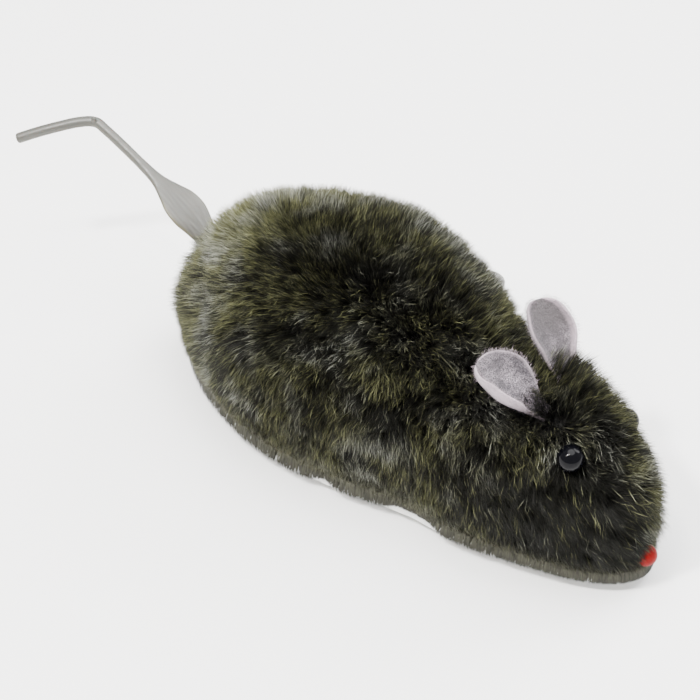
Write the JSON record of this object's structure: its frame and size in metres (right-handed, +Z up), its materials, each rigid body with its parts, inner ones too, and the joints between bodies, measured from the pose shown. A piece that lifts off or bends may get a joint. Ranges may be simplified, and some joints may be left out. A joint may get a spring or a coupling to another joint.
{
  "type": "wind-up toy mouse",
  "caption": "Wind-up plush mouse: furry coat over a moulded shell on a flat pan, with felt ears, a leaf-shaped tail, a side key and a geared spring motor driving its wheels.",
  "frame": {"origin": "on the flat underside of the base pan, midway between rump and nose, on the mid-plane; the floor that the wheels stand on is 2 mm lower", "axes": "+X from rump to nose, +Y to the mouse's left (the key's side), +Z up"},
  "size_m": [0.1644, 0.0623, 0.0512],
  "materials": {
    "fur_fabric": "long dark grey-brown pile with pale tips",
    "shell_plastic": "moulded, matt",
    "pan_plastic": "moulded, slight gloss",
    "felt": "pressed felt",
    "black_bead": "polished",
    "red_bead": "polished",
    "tail_vinyl": "soft vinyl, slight sheen",
    "tin_plate": "stamped",
    "turned_steel": "turned",
    "blued_steel": "blued band",
    "plated_key": "nickel plated",
    "gear_brass": "stamped",
    "wheel_plastic": "moulded",
    "tyre_rubber": "plain rubber"
  },
  "bodies": {
    "base": {"fur_coat": "fur_fabric", "body_shell": "shell_plastic", "base_pan": "pan_plastic", "ear_left": "felt", "ear_right": "felt", "eye_left": "black_bead", "eye_right": "black_bead", "nose": "red_bead", "motor_plate_left": "tin_plate", "motor_plate_right": "tin_plate", "motor_pillars": "turned_steel", "motor_screws": "turned_steel", "motor_nuts": "turned_steel", "mainspring": "blued_steel", "front_axle": "turned_steel"},
    "rear_axle": {"rear_axle": "turned_steel", "axle_pinion": "turned_steel", "wheel_left": "wheel_plastic", "wheel_right": "wheel_plastic", "tyre_left": "tyre_rubber", "tyre_right": "tyre_rubber"},
    "intermediate": {"intermediate_arbor": "turned_steel", "intermediate_pinion": "turned_steel", "intermediate_wheel": "gear_brass"},
    "great_wheel": {"great_gear": "gear_brass", "click": "turned_steel", "click_rivet": "turned_steel", "click_spring": "blued_steel"},
    "winding": {"winding_arbor": "turned_steel", "ratchet_wheel": "turned_steel", "winding_key": "plated_key"},
    "front_roller": {"front_wheel": "wheel_plastic"},
    "tail": {"tail": "tail_vinyl"}
  },
  "joints": [
    {"name": "rear_axle_spin", "type": "hinge", "parent": "base", "child": "rear_axle", "pos_m": [-0.032, 0, 0.007], "axis": [0, 1, 0], "continuous": true},
    {"name": "intermediate_spin", "type": "hinge", "parent": "base", "child": "intermediate", "pos_m": [-0.02281, 0, 0.01471], "axis": [0, 1, 0], "continuous": true},
    {"name": "great_gear_spin", "type": "hinge", "parent": "base", "child": "great_wheel", "pos_m": [-0.01019, 0, 0.01786], "axis": [0, 1, 0], "continuous": true},
    {"name": "key_turn", "type": "hinge", "parent": "base", "child": "winding", "pos_m": [-0.01019, 0, 0.01786], "axis": [0, 1, 0], "continuous": true},
    {"name": "front_wheel_spin", "type": "hinge", "parent": "base", "child": "front_roller", "pos_m": [0.036, 0, 0.003], "axis": [0, 1, 0], "continuous": true},
    {"name": "tail_flex", "type": "hinge", "parent": "base", "child": "tail", "pos_m": [-0.046, 0, 0.0136], "axis": [0, 1, 0], "range_deg": [-10, 10], "stiffness_Nm_per_rad": 0.02}
  ],
  "couplings": [
    {"joint": "intermediate_spin", "follows": "rear_axle_spin", "ratio": -0.33333},
    {"joint": "great_gear_spin", "follows": "rear_axle_spin", "ratio": 0.1},
    {"joint": "key_turn", "follows": "rear_axle_spin", "ratio": 0.1}
  ]
}
